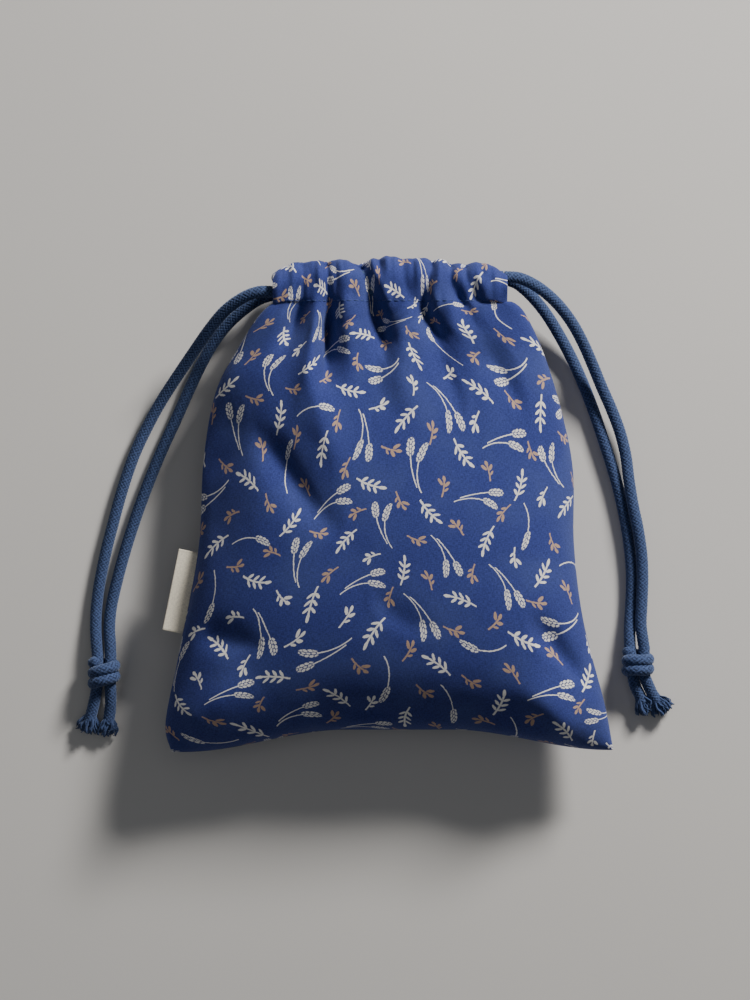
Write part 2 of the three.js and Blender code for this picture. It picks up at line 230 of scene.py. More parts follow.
def route_frames(route):
    """Side and up at each point of a route, carried along without twist."""
    tangents = np.gradient(route, axis=0)
    tangents /= np.linalg.norm(tangents, axis=1)[:, None]
    side = np.cross(tangents[0], (0, 0, 1))
    if np.linalg.norm(side) < 1e-3:
        side = np.cross(tangents[0], (0, 1, 0))
    sides = []
    for tangent in tangents:
        side = side - tangent * np.dot(side, tangent)
        side = side / np.linalg.norm(side)
        sides.append(side)
    sides = np.array(sides)
    return sides, np.cross(sides, tangents)


def plait(around, along, carriers, pitch):
    """Height, 0 to 1, of a braid whose yarns cross over and under each other."""
    first = around * carriers + along / pitch
    second = around * carriers - along / pitch
    over = (np.floor(first) + np.floor(second)) % 2 == 0
    ridge = np.where(over, np.abs(np.sin(np.pi * first)), np.abs(np.sin(np.pi * second)))
    return ridge ** 0.8


def tube_faces(first, rings, corners):
    """Faces of a closed tube whose rings of corners are numbered from first."""
    faces = []
    for ring in range(rings - 1):
        low, high = first + ring * corners, first + (ring + 1) * corners
        for corner in range(corners):
            beside = (corner + 1) % corners
            faces.append((low + corner, low + beside, high + beside, high + corner))
    last = first + (rings - 1) * corners
    faces.append(tuple(first + corner for corner in reversed(range(corners))))
    faces.append(tuple(last + corner for corner in range(corners)))
    return faces


def braided_tube(name, route, settings, material, taper_ends=False):
    """A braided cord along a route of close points, with the plait standing out of its surface."""
    sides_round, carriers = 44, 8
    side, up = route_frames(route)
    travelled = np.concatenate([[0], np.cumsum(np.linalg.norm(np.diff(route, axis=0), axis=1))])
    around = np.arange(sides_round) / sides_round
    heights = plait(around[None, :], travelled[:, None], carriers, settings.yarn_pitch)
    radius = settings.diameter / 2 - settings.relief * (1 - heights)
    if taper_ends:
        from_end = np.minimum(travelled, travelled[-1] - travelled) / (settings.diameter * 0.4)
        radius = radius * np.sqrt(np.clip(from_end, 0.02, 1))[:, None]
    angle = 2 * np.pi * around
    ring = (np.cos(angle)[None, :, None] * side[:, None, :] + np.sin(angle)[None, :, None] * up[:, None, :])
    vertices = (route[:, None, :] + radius[:, :, None] * ring).reshape(-1, 3)
    piece = new_object(name, vertices, tube_faces(0, len(route), sides_round), material)
    # The relief attribute also sets the painted shade in the braid's crevices and the painted highlight on
    # its raised yarns.
    relief = piece.data.attributes.new("relief", "FLOAT", "POINT")
    relief.data.foreach_set("value", heights.reshape(-1).astype(np.float32))
    return piece


def face_outwards(piece):
    mesh = bmesh.new()
    mesh.from_mesh(piece.data)
    bmesh.ops.recalc_face_normals(mesh, faces=mesh.faces)
    mesh.to_mesh(piece.data)
    mesh.free()


# Materials

class NodeWriter:
    """Adds nodes to a tree. A value is a number, a tuple or a socket; each call gives back a socket."""

    def __init__(self, tree):
        self.tree = tree

    def node(self, kind, **settings):
        made = self.tree.nodes.new(kind)
        for name, value in settings.items():
            setattr(made, name, value)
        return made

    def put(self, socket, value):
        if isinstance(value, bpy.types.NodeSocket):
            self.tree.links.new(value, socket)
        else:
            socket.default_value = value

    def math(self, operation, *values):
        made = self.node("ShaderNodeMath", operation=operation)
        for socket, value in zip(made.inputs, values):
            self.put(socket, value)
        return made.outputs[0]

    def add(self, a, b):
        return self.math("ADD", a, b)

    def subtract(self, a, b):
        return self.math("SUBTRACT", a, b)

    def multiply(self, a, b):
        return self.math("MULTIPLY", a, b)

    def largest(self, *values):
        result = values[0]
        for value in values[1:]:
            result = self.math("MAXIMUM", result, value)
        return result

    def mix_colour(self, factor, a, b, blend="MIX"):
        made = self.node("ShaderNodeMix", data_type="RGBA", blend_type=blend)
        self.put(made.inputs[0], factor)
        self.put(made.inputs[6], a)
        self.put(made.inputs[7], b)
        return made.outputs[2]

    def ramp(self, value, low, high, to_low=0.0, to_high=1.0):
        made = self.node("ShaderNodeMapRange", interpolation_type="SMOOTHSTEP")
        for socket, number in zip(made.inputs, (value, low, high, to_low, to_high)):
            self.put(socket, number)
        return made.outputs[0]

    def noise(self, vector, scale, detail=2.0, dimensions="3D", output="Fac"):
        made = self.node("ShaderNodeTexNoise", noise_dimensions=dimensions)
        self.put(made.inputs["Vector"], vector)
        self.put(made.inputs["Scale"], scale)
        self.put(made.inputs["Detail"], detail)
        return made.outputs[output]

    def group(self, tree, **values):
        made = self.node("ShaderNodeGroup", node_tree=tree)
        for name, value in values.items():
            self.put(made.inputs[name.replace("_", " ")], value)
        return made


def new_group(name, inputs, outputs):
    """A shader node group with named float or vector inputs and outputs."""
    tree = bpy.data.node_groups.new(name, "ShaderNodeTree")
    for label, kind in inputs:
        tree.interface.new_socket(name=label, in_out="INPUT", socket_type=kind)
    for label, kind in outputs:
        tree.interface.new_socket(name=label, in_out="OUTPUT", socket_type=kind)
    return tree, tree.nodes.new("NodeGroupInput"), tree.nodes.new("NodeGroupOutput")


def lobe_group():
    """Mask of one leaf: an ellipse at a place, leaning by an angle. Lengths are in millimetres."""
    found = bpy.data.node_groups.get("Print Lobe")
    if found:
        return found
    floats = ["X", "Y", "Centre X", "Centre Y", "Lean Cosine", "Lean Sine", "Half Width", "Half Length"]
    tree, start, end = new_group("Print Lobe", [(name, "NodeSocketFloat") for name in floats],
                                 [("Mask", "NodeSocketFloat")])
    write = NodeWriter(tree)
    value = start.outputs
    right = write.subtract(value["X"], value["Centre X"])
    ahead = write.subtract(value["Y"], value["Centre Y"])
    cosine, sine = value["Lean Cosine"], value["Lean Sine"]
    across = write.subtract(write.multiply(right, cosine), write.multiply(ahead, sine))
    along = write.add(write.multiply(right, sine), write.multiply(ahead, cosine))
    near = write.add(
        write.math("POWER", write.math("DIVIDE", across, value["Half Width"]), 2.0),
        write.math("POWER", write.math("DIVIDE", along, value["Half Length"]), 2.0),
    )
    write.put(end.inputs["Mask"], write.ramp(near, 0.75, 1.15, 1.0, 0.0))
    return tree


class PrintWriter(NodeWriter):
    """Draws the motifs of the print from lobes and stems, in millimetres."""

    def lobe(self, x, y, centre, lean, half_width, half_length):
        made = self.group(
            lobe_group(), X=x, Y=y, Centre_X=centre[0], Centre_Y=centre[1],
            Lean_Cosine=math.cos(lean), Lean_Sine=math.sin(lean),
            Half_Width=half_width, Half_Length=half_length,
        )
        return made.outputs["Mask"]

    def stem(self, x, y, low, high, half_width):
        thin = self.ramp(self.math("ABSOLUTE", x), half_width * 0.6, half_width * 1.4, 1.0, 0.0)
        above = self.math("GREATER_THAN", y, low)
        below = self.math("LESS_THAN", y, high)
        return self.multiply(thin, self.multiply(above, below))

    def repeated(self, y, pitch, low, high):
        """y folded into one pitch between low and high, and a mask that is 1 there."""
        folded = self.subtract(self.math("FLOORED_MODULO", self.subtract(y, low), pitch), pitch / 2)
        inside = self.multiply(self.math("GREATER_THAN", y, low), self.math("LESS_THAN", y, high))
        return folded, inside

    def leaf_twig(self, x, y):
        bent = self.add(x, self.multiply(self.math("POWER", y, 2.0), 0.014))
        spread = self.math("ABSOLUTE", bent)
        folded, inside = self.repeated(y, 3.5, -6.6, 3.9)
        leaves = self.multiply(self.lobe(spread, folded, (1.75, 0.2), 0.80, 0.70, 1.95), inside)
        tip = self.lobe(spread, y, (0.0, 5.9), 0.0, 0.84, 2.1)
        stalk = self.stem(bent, y, -9.4, 5.2, 0.46)
        return self.largest(leaves, tip, stalk)

    def grain_stalks(self, x, y, pair):
        """Two bowed stalks that part towards their ears, or one of them where pair is 0."""
        bow = self.multiply(self.math("POWER", self.add(y, 3.0), 2.0), 0.016)
        bowed = self.subtract(self.add(x, 1.6), bow)
        side = self.math("SIGN", bowed)
        along = self.add(y, self.multiply(side, 1.7))
        parting = self.multiply(self.math("POWER", self.add(along, 14.0), 2.0), 0.0062)
        offset = self.subtract(self.math("ABSOLUTE", bowed), self.add(parting, 0.5))
        stalk = self.stem(offset, along, -13.0, 4.6, 0.31)
        folded, inside = self.repeated(along, 2.3, 3.9, 13.1)
        middle_fold, _ = self.repeated(along, 2.3, 5.05, 13.1)
        outer_grains = self.lobe(self.math("ABSOLUTE", offset), folded, (1.5, 0.1), 0.42, 0.72, 1.22)
        middle_grains = self.lobe(self.math("ABSOLUTE", offset), middle_fold, (0.0, 0.0), 0.0, 0.58, 1.0)
        ear = self.lobe(offset, along, (0.0, 8.5), 0.0, 2.45, 4.9)
        grains = self.multiply(self.largest(outer_grains, middle_grains), inside)
        drawn = self.largest(stalk, self.multiply(grains, ear))
        kept = self.largest(pair, self.math("GREATER_THAN", side, 0.0))
        return self.multiply(drawn, kept)

    def bud(self, x, y):
        bent = self.add(x, self.multiply(self.math("POWER", y, 2.0), 0.02))
        left = self.lobe(bent, y, (-1.9, 2.3), -0.62, 0.88, 2.0)
        right = self.lobe(bent, y, (1.6, 1.4), 0.72, 0.84, 1.8)
        middle = self.lobe(bent, y, (0.1, 4.0), 0.0, 0.82, 1.6)
        low_leaf = self.lobe(bent, y, (1.4, -1.6), 0.8, 0.62, 1.35)
        return self.largest(left, right, middle, low_leaf, self.stem(bent, y, -5.6, 2.8, 0.4))

    def scattered(self, across, up, pitch, start, number):
        """Place within the nearest cell of a scattered lattice, and the cell's own draws."""
        column_place = self.math("DIVIDE", self.subtract(across, start[0] * pitch), pitch)
        row_place = self.math("DIVIDE", self.subtract(up, start[1] * pitch), pitch)
        column, row = self.math("FLOOR", column_place), self.math("FLOOR", row_place)
        key = self.node("ShaderNodeCombineXYZ")
        self.put(key.inputs[0], column)
        self.put(key.inputs[1], row)
        self.put(key.inputs[2], float(number))
        draw = self.node("ShaderNodeTexWhiteNoise", noise_dimensions="3D")
        self.put(draw.inputs["Vector"], key.outputs[0])
        parts = self.node("ShaderNodeSeparateColor")
        self.put(parts.inputs[0], draw.outputs["Color"])
        x = self.multiply(self.subtract(self.subtract(column_place, column), 0.5), pitch)
        y = self.multiply(self.subtract(self.subtract(row_place, row), 0.5), pitch)
        x = self.add(x, self.multiply(self.subtract(parts.outputs[0], 0.5), 3.6))
        y = self.add(y, self.multiply(self.subtract(parts.outputs[1], 0.5), 3.6))
        return x, y, draw.outputs["Value"], parts.outputs[2]

    def near_quarter(self, chance, first, spread):
        """An angle drawn from chance: one of four quarter turns, give or take half the spread."""
        quarter = self.math("FLOOR", self.multiply(chance, 4.0))
        lean = self.multiply(self.subtract(self.math("FRACT", self.multiply(chance, 16.0)), 0.5), spread)
        return self.add(self.multiply(self.add(quarter, first), math.pi / 2), lean)

    def turned(self, x, y, angle):
        cosine, sine = self.math("COSINE", angle), self.math("SINE", angle)
        turned_x = self.subtract(self.multiply(x, cosine), self.multiply(y, sine))
        turned_y = self.add(self.multiply(x, sine), self.multiply(y, cosine))
        return turned_x, turned_y


def print_group():
    """A tossed print of leaf twigs, grain stalks and buds. Each kind has a lattice of its own."""
    found = bpy.data.node_groups.get("Tossed Print")
    if found:
        return found
    tree, start, end = new_group(
        "Tossed Print", [("Cloth", "NodeSocketVector")],
        [("Light", "NodeSocketFloat"), ("Tan", "NodeSocketFloat")],
    )
    write = PrintWriter(tree)
    pitch = 34.5
    split = write.node("ShaderNodeSeparateXYZ")
    write.put(split.inputs[0], start.outputs["Cloth"])
    wobble = write.noise(start.outputs["Cloth"], 700.0, 2.0, "2D")
    rough = write.multiply(write.subtract(wobble, 0.5), 0.5)
    drift_parts = write.node("ShaderNodeSeparateColor")
    write.put(drift_parts.inputs[0], write.noise(start.outputs["Cloth"], 14.0, 0.0, "2D", "Color"))
    drifted_x = write.multiply(write.subtract(drift_parts.outputs[0], 0.5), 10.0)
    drifted_y = write.multiply(write.subtract(drift_parts.outputs[1], 0.5), 10.0)
    flat_x = write.add(write.add(write.multiply(split.outputs["X"], 1000.0), rough), drifted_x)
    flat_y = write.add(write.add(write.multiply(split.outputs["Y"], 1000.0), rough), drifted_y)
    across, up = write.turned(flat_x, flat_y, 0.46)

    x, y, chance, other = write.scattered(across, up, pitch, (0.0, 0.0), 1)
    angle = write.near_quarter(chance, 0.5, 0.6)
    stalks_x, stalks_y = write.turned(write.multiply(x, 1.1), write.multiply(y, 1.1), angle)
    stalks = write.grain_stalks(stalks_x, stalks_y, write.math("GREATER_THAN", other, 0.30))

    x, y, chance, _ = write.scattered(across, up, pitch, (0.5, 0.5), 2)
    twig = write.leaf_twig(*write.turned(x, y, write.near_quarter(chance, 0.0, 0.8)))

    x, y, chance, other = write.scattered(across, up, pitch, (0.5, 0.0), 3)
    first_bud = write.bud(*write.turned(x, y, write.multiply(chance, 2 * math.pi)))
    first_is_light = write.math("GREATER_THAN", other, 0.86)

    x, y, chance, other = write.scattered(across, up, pitch, (0.0, 0.5), 4)
    second_bud = write.bud(*write.turned(x, y, write.multiply(chance, 2 * math.pi)))
    second_is_light = write.math("LESS_THAN", other, 0.22)

    write.put(end.inputs["Light"], write.largest(
        stalks, twig, write.multiply(first_bud, first_is_light), write.multiply(second_bud, second_is_light)))
    write.put(end.inputs["Tan"], write.largest(
        write.multiply(first_bud, write.subtract(1.0, first_is_light)),
        write.multiply(second_bud, write.subtract(1.0, second_is_light))))
    return tree


def weave_group():
    """Plain weave: its height and the uneven dye of its yarns."""
    found = bpy.data.node_groups.get("Plain Weave")
    if found:
        return found
    tree, start, end = new_group(
        "Plain Weave", [("Cloth", "NodeSocketVector"), ("Yarns Per Metre", "NodeSocketFloat")],
        [("Height", "NodeSocketFloat"), ("Shade", "NodeSocketFloat")],
    )
    write = NodeWriter(tree)
    split = write.node("ShaderNodeSeparateXYZ")
    write.put(split.inputs[0], start.outputs["Cloth"])
    turns = write.multiply(start.outputs["Yarns Per Metre"], math.pi)
    warp = write.math("SINE", write.multiply(split.outputs["X"], turns))
    weft = write.math("SINE", write.multiply(split.outputs["Y"], turns))
    height = write.math("ABSOLUTE", write.multiply(warp, weft))
    yarns = []
    for stretch in ((1.0, 0.25, 1.0), (0.25, 1.0, 1.0)):
        long_way = write.node("ShaderNodeMapping")
        write.put(long_way.inputs["Vector"], start.outputs["Cloth"])
        long_way.inputs["Scale"].default_value = stretch
        yarns.append(write.noise(long_way.outputs[0], 2600.0, 1.0, "2D"))
    slubs = write.add(*yarns)
    write.put(end.inputs["Height"], write.add(height, write.multiply(slubs, 0.6)))
    write.put(end.inputs["Shade"], write.multiply(slubs, 0.5))
    return tree


def new_material(name):
    material = bpy.data.materials.new(name)
    material.use_nodes = True
    shader = material.node_tree.nodes["Principled BSDF"]
    return material, NodeWriter(material.node_tree), shader


def set_values(shader, **values):
    for name, value in values.items():
        shader.inputs[name.replace("_", " ")].default_value = value


def bump(write, height, strength, distance):
    made = write.node("ShaderNodeBump")
    made.inputs["Strength"].default_value = strength
    made.inputs["Distance"].default_value = distance
    write.put(made.inputs["Height"], height)
    return made.outputs["Normal"]


def printed_cotton(settings):
    material, write, shader = new_material("printed cotton")
    cloth = write.node("ShaderNodeUVMap", uv_map="flat_cut").outputs[0]
    weave = write.group(weave_group(), Cloth=cloth, Yarns_Per_Metre=2400.0)
    prints = write.group(print_group(), Cloth=cloth)
    grain = write.ramp(weave.outputs["Shade"], 0.30, 0.70, 0.72, 1.30)
    ground = write.mix_colour(1.0, (*settings.cloth_colour, 1.0), grain, "MULTIPLY")
    wear = write.noise(cloth, 34.0, 3.0, "2D")
    washed = write.mix_colour(write.ramp(wear, 0.35, 0.75, 0.0, 0.10), ground, (0.13, 0.18, 0.36, 1.0))
    ink = write.ramp(weave.outputs["Shade"], 0.25, 0.60, 0.86, 1.0)
    with_tan = write.mix_colour(write.multiply(prints.outputs["Tan"], write.multiply(ink, 0.93)),
                                washed, (*settings.tan_print, 1.0))
    with_light = write.mix_colour(write.multiply(prints.outputs["Light"], ink),
                                  with_tan, (*settings.light_print, 1.0))
    write.put(shader.inputs["Base Color"], with_light)
    write.put(shader.inputs["Roughness"], write.ramp(weave.outputs["Shade"], 0.3, 0.7, 0.96, 0.84))
    write.put(shader.inputs["Normal"], bump(write, weave.outputs["Height"], 0.35, 0.00025))
    set_values(shader, Sheen_Weight=0.22, Sheen_Roughness=0.5, Sheen_Tint=(0.42, 0.52, 1.0, 1.0),
               Specular_IOR_Level=0.25)
    return material


def braided_cotton(settings):
    material, write, shader = new_material("braided cotton")
    place = write.node("ShaderNodeTexCoord").outputs["Object"]
    relief = write.node("ShaderNodeAttribute", attribute_name="relief").outputs["Fac"]
    fibre = write.noise(place, 2600.0, 3.0)
    # Painted shade and highlight: where the plait's relief is low, the cord colour is darkened as painted
    # shade in its crevices. Where it is high, it is lightened as a painted highlight. On the frayed ends the
    # same attribute holds a tone for each yarn.
    deep = write.mix_colour(1.0, (*settings.colour, 1.0), (0.26, 0.26, 0.30, 1.0), "MULTIPLY")
    raised = write.mix_colour(1.0, (*settings.colour, 1.0), (1.30, 1.30, 1.25, 1.0), "MULTIPLY")
    painted_shade_and_highlight = write.mix_colour(write.ramp(relief, 0.22, 0.86), deep, raised)
    heather = write.ramp(fibre, 0.30, 0.70, 0.72, 1.35)
    write.put(shader.inputs["Base Color"], write.mix_colour(1.0, painted_shade_and_highlight, heather, "MULTIPLY"))
    write.put(shader.inputs["Roughness"], write.ramp(fibre, 0.3, 0.7, 0.98, 0.86))
    write.put(shader.inputs["Normal"], bump(write, fibre, 0.35, 0.0002))
    set_values(shader, Sheen_Weight=0.35, Sheen_Roughness=0.45, Sheen_Tint=(0.6, 0.72, 1.0, 1.0),
               Specular_IOR_Level=0.2)
    return material


def sewing_thread():
    material, write, shader = new_material("sewing thread")
    place = write.node("ShaderNodeTexCoord").outputs["Object"]
    fibre = write.noise(place, 5200.0, 2.0)
    deep, raised = (0.018, 0.032, 0.13, 1.0), (0.05, 0.085, 0.27, 1.0)
    colour = write.mix_colour(write.ramp(fibre, 0.3, 0.7), deep, raised)
    write.put(shader.inputs["Base Color"], colour)
    write.put(shader.inputs["Roughness"], write.ramp(fibre, 0.3, 0.7, 0.7, 0.5))
    return material


def woven_tape(settings):
    material, write, shader = new_material("woven tape")
    cloth = write.node("ShaderNodeUVMap", uv_map="flat_cut").outputs[0]
    weave = write.group(weave_group(), Cloth=cloth, Yarns_Per_Metre=3000.0)
    shade = write.ramp(weave.outputs["Shade"], 0.3, 0.7, 0.86, 1.08)
    split = write.node("ShaderNodeSeparateXYZ")
    write.put(split.inputs[0], cloth)
    selvedge = write.ramp(write.math("ABSOLUTE", write.subtract(split.outputs["Y"], 0.02075)),
                          0.0192, 0.0198, 1.0, 0.84)
    tone = write.mix_colour(1.0, (*settings.label_colour, 1.0), write.multiply(shade, selvedge), "MULTIPLY")
    write.put(shader.inputs["Base Color"], tone)
    write.put(shader.inputs["Roughness"], write.ramp(weave.outputs["Shade"], 0.3, 0.7, 0.9, 0.75))
    write.put(shader.inputs["Normal"], bump(write, weave.outputs["Height"], 0.4, 0.0002))
    set_values(shader, Sheen_Weight=0.15)
    return material


def material_named(name, make, *settings):
    return bpy.data.materials.get(name) or make(*settings)


def cord_material(settings):
    return material_named("braided cotton", braided_cotton, settings)


# Form of the pouch. across runs from -1 to 1, up from the bottom seam (0) to the casing's stitches (1).

LEFT_EDGE = in_metres([
    (-109.0, -123.5, 0), (-112.0, -109, 0), (-105.5, -75, 0), (-95.5, -22, 0), (-93, 22, 0),
    (-87, 56, 0), (-76, 77.5, 0), (-66, 93, 0), (-58, 101, 0),
])
RIGHT_EDGE = in_metres([
    (112.0, -122.5, 0), (107.5, -99, 0), (97, -58, 0), (92.3, -20, 0), (92, 15, 0),
    (87.5, 41, 0), (78, 73, 0), (66.5, 97, 0), (58.5, 102, 0),
])
BOTTOM_DROOP_POWER = 1.7

# Folds, each as its course over the cloth in millimetres, its depth (a ridge is negative), and its half width
# to the left and right of the course.
FRONT_GATHERS = [
    ([(-50.5, 123), (-49.5, 112), (-50, 101), (-53, 93)], 3.4, 1.9, 2.8),
    ([(-43.5, 124), (-42.5, 112), (-44, 100), (-49, 86), (-55, 72)], 5.6, 2.0, 2.6),
    ([(-37, 124), (-36.5, 112), (-34.5, 101), (-37, 89)], 3.8, 1.5, 2.2),
    ([(-31.5, 124), (-30.5, 112), (-30, 99), (-31.2, 84), (-31.8, 68), (-33, 48)], 7.4, 1.9, 3.0),
    ([(-23.5, 124), (-22, 114), (-22.5, 104), (-21.5, 97)], 2.0, 1.8, 1.8),
    ([(-14.5, 124), (-12, 114), (-8.5, 104), (-5.5, 93), (-3, 80), (-5.5, 66)], 8.0, 3.4, 2.4),
    ([(-5.5, 124.5), (-5, 117), (-7.5, 109)], 4.2, 1.6, 1.6),
    ([(6.0, 124), (7.2, 113), (9.5, 105), (15, 97), (19, 88)], 3.6, 1.7, 2.8),
    ([(21.5, 124), (19.8, 113), (17.6, 104), (18.2, 97), (22, 88), (28, 74)], 6.4, 2.2, 2.0),
    ([(30.5, 124), (30, 113), (33, 105), (39, 98), (43, 88)], 5.8, 1.8, 2.3),
    ([(37.5, 124), (38, 115), (41.5, 107), (48, 101), (56, 95)], 5.0, 1.7, 2.2),
    ([(45.5, 124), (46.5, 116), (50.5, 109)], 2.8, 1.8, 1.8),
]
FRONT_FOLDS = [
    ([(-43, 88), (-38, 60), (-30, 28), (-24, 4)], -4.6, 9.0, 12.0),
    ([(-72, 66), (-82, 34), (-86, -4), (-84, -36)], 5.6, 13.0, 13.0),
    ([(-69, 44), (-52, 18), (-36, -4), (-16, -22)], 5.0, 8.5, 9.5),
    ([(2, 88), (6, 62), (12, 40)], -2.8, 9.0, 9.0),
    ([(44, 84), (58, 58), (66, 30)], 3.0, 8.0, 8.0),
    ([(22, 84), (31, 58), (36, 36)], 2.4, 6.0, 7.0),
    ([(70, -52), (84, -74), (106, -97)], 4.8, 6.5, 8.0),
    ([(-105, -116), (-88, -100), (-66, -84)], -4.4, 11.0, 12.0),
    ([(-98, -62), (-80, -66), (-56, -70)], 3.0, 8.0, 8.0),
    ([(-44, -103), (-10, -101), (30, -101), (78, -106)], 4.4, 7.0, 9.0),
    ([(96, -118), (78, -100), (58, -86)], -3.2, 9.0, 9.0),
    ([(-14, -40), (10, -58), (44, -62)], 2.2, 10.0, 10.0),
]
# Small puckers between the gathers: place across the casing, lean and depth.
PUCKERS = [
    (-54, -1, 1.6), (-47, -1, 1.8), (-40.3, 0.5, 2.0), (-33.8, 0.4, 1.6), (-27, 0.3, 1.9), (-19, 0.8, 2.1),
    (-10, 1.2, 1.5), (0.5, 0.6, 1.7), (3.4, 0.4, 1.1), (11.5, 0.9, 1.5), (15.5, 0.6, 1.9), (25.5, 0.4, 2.0),
    (34, 1.4, 1.7), (41.5, 1.8, 1.8), (50, 1.6, 1.6), (54.5, 1.2, 1.3),
]
FRONT_GATHERS += [
    ([(x, 124), (x + 0.8, 112), (x + lean, 101), (x + 2.2 * lean, 90)], deep, 1.15, 1.5)
    for x, lean, deep in PUCKERS
]
BACK_GATHERS = [
    ([(-50 + 10.5 * n, 124), (-49 + 10.5 * n + 1.5 * math.sin(4.1 * n), 108), (-50 + 10.7 * n, 100),
      (-52 + 11.2 * n, 84 - 9 * math.sin(2.7 * n))], 5.0 + 1.4 * math.sin(2.3 * n), 2.1, 2.4)
    for n in range(10)
]
BACK_FOLDS = [
    ([(-60, 62), (-70, 30), (-72, 0)], 4.0, 11.0, 11.0),
    ([(54, 64), (66, 34), (72, 8)], 4.0, 11.0, 11.0),
]


def fold_depth(x, y, folds, sharpness):
    """How deep the folds go at each point, in metres. Each fades out towards both ends of its course."""
    depth = np.zeros_like(x)
    for course, deep, left_width, right_width in folds:
        route = smooth_route(in_metres([(px, py, 0) for px, py in course]), 0.0012)[:, :2]
        ahead = np.gradient(route, axis=0)
        dx = x[:, None] - route[None, :, 0]
        dy = y[:, None] - route[None, :, 1]
        nearest = np.argmin(dx * dx + dy * dy, axis=1)
        every = np.arange(len(x))
        nx, ny = dx[every, nearest], dy[every, nearest]
        to_right = ahead[nearest, 0] * ny - ahead[nearest, 1] * nx > 0
        goes_down = route[-1, 1] < route[0, 1]
        right_side = to_right if goes_down else ~to_right
        wide = np.where(right_side, right_width, left_width) * MM
        share = nearest / (len(route) - 1)
        starts_at_mouth = course[0][1] > 120
        fade_in = 1.0 if starts_at_mouth else smoothstep(share, -0.05, 0.3)
        fade = fade_in * (1 - smoothstep(share, 0.45, 1.05)) ** 0.9
        if starts_at_mouth:
            wide = wide * (1 + 1.5 * share ** 1.5)
        reach = np.hypot(nx, ny) / wide
        shoulder = 0.22 * np.exp(-((reach - 2.1) / 0.85) ** 2) if starts_at_mouth else 0.0
        depth += deep * MM * fade * (np.exp(-reach ** sharpness) - shoulder)
    return depth


def edge_point(edge, share):
    stops = np.linspace(0, 1, len(edge))
    return np.column_stack([np.interp(share, stops, edge[:, axis]) for axis in range(3)])


def smoothstep(value, low, high):
    t = np.clip((value - low) / (high - low), 0, 1)
    return t * t * (3 - 2 * t)


def rim_lift(up):
    return 0.011 * smoothstep(up, 0.82, 1.0)


def panel_section(up, rise, gathers, folds, edges, floor_drop):
    """The curve across a panel at one height, as points closely spaced from seam to seam."""
    left, right = edges
    turn = np.linspace(-1, 1, 481)
    s = np.sin(turn * math.pi / 2)
    lp, rp = edge_point(left, up)[0], edge_point(right, up)[0]
    middle_y = BOTTOM_MIDDLE_Y + (STITCH_Y - BOTTOM_MIDDLE_Y) * up
    side = np.where(s < 0, lp[1], rp[1])
    x = np.where(s < 0, -s * lp[0], s * rp[0])
    near_bottom = 1 - float(smoothstep(up, 0.0, 0.30))
    hanging = np.where(s < 0, smoothstep(-s, 0.20, 0.94), smoothstep(s, 0.28, 0.97))
    droop = near_bottom * hanging + (1 - near_bottom) * np.abs(s) ** BOTTOM_DROOP_POWER
    y = middle_y + (side - middle_y) * droop
    closing = math.sqrt(max(0.0, 1 - (1 - min(up / 0.36, 1)) ** 2.1))
    at_stitches = 0.0172
    ridge = rise * closing + (at_stitches - rise * closing) * float(smoothstep(up, 0.42, 1.0))
    power = 2.15 + 2.6 * float(smoothstep(up, 0.6, 1.0))
    crown = ridge * (1 - np.abs(s) ** power) ** (1 / power)
    lift = rim_lift(up)
    z = SEAM_HEIGHT + lift + crown * (1 - lift / 0.02)
    inside = np.clip(crown / 0.008, 0, 1)
    below_stitches = smoothstep(STITCH_Y - y, 0.0, 0.014)
    gathered = fold_depth(x, y, gathers, 1.4) * (1 + 1.05 * below_stitches)
    folded = 1.35 * fold_depth(x, y, folds, 1.8)
    z -= (gathered + folded) * inside
    return np.column_stack([x, y, np.minimum(z, floor_drop)])


def resample(points, count):
    travelled = np.concatenate([[0], np.cumsum(np.linalg.norm(np.diff(points, axis=0), axis=1))])
    stops = np.linspace(0, travelled[-1], count)
    return np.column_stack([np.interp(stops, travelled, points[:, axis]) for axis in range(3)])


# The casing in section, from the stitches over the fold to the hem: place up the pouch and height, in mm.
CASING_SECTION = [
    (101.0, 42.6), (102.6, 43.6), (105.5, 44.8), (109.5, 45.4), (114.0, 45.2), (118.2, 43.6), (121.4, 40.8),
    (122.8, 37.4), (121.8, 34.0), (118.5, 31.8), (113.0, 30.9), (107.0, 31.2), (103.0, 33.0), (101.4, 36.2),
]
PANEL_COLUMNS = 138
PANEL_ROWS = 64
CASING_ROWS = 20
FLAT_PANEL_LENGTH = 0.240
FLAT_CASING_LENGTH = 0.052


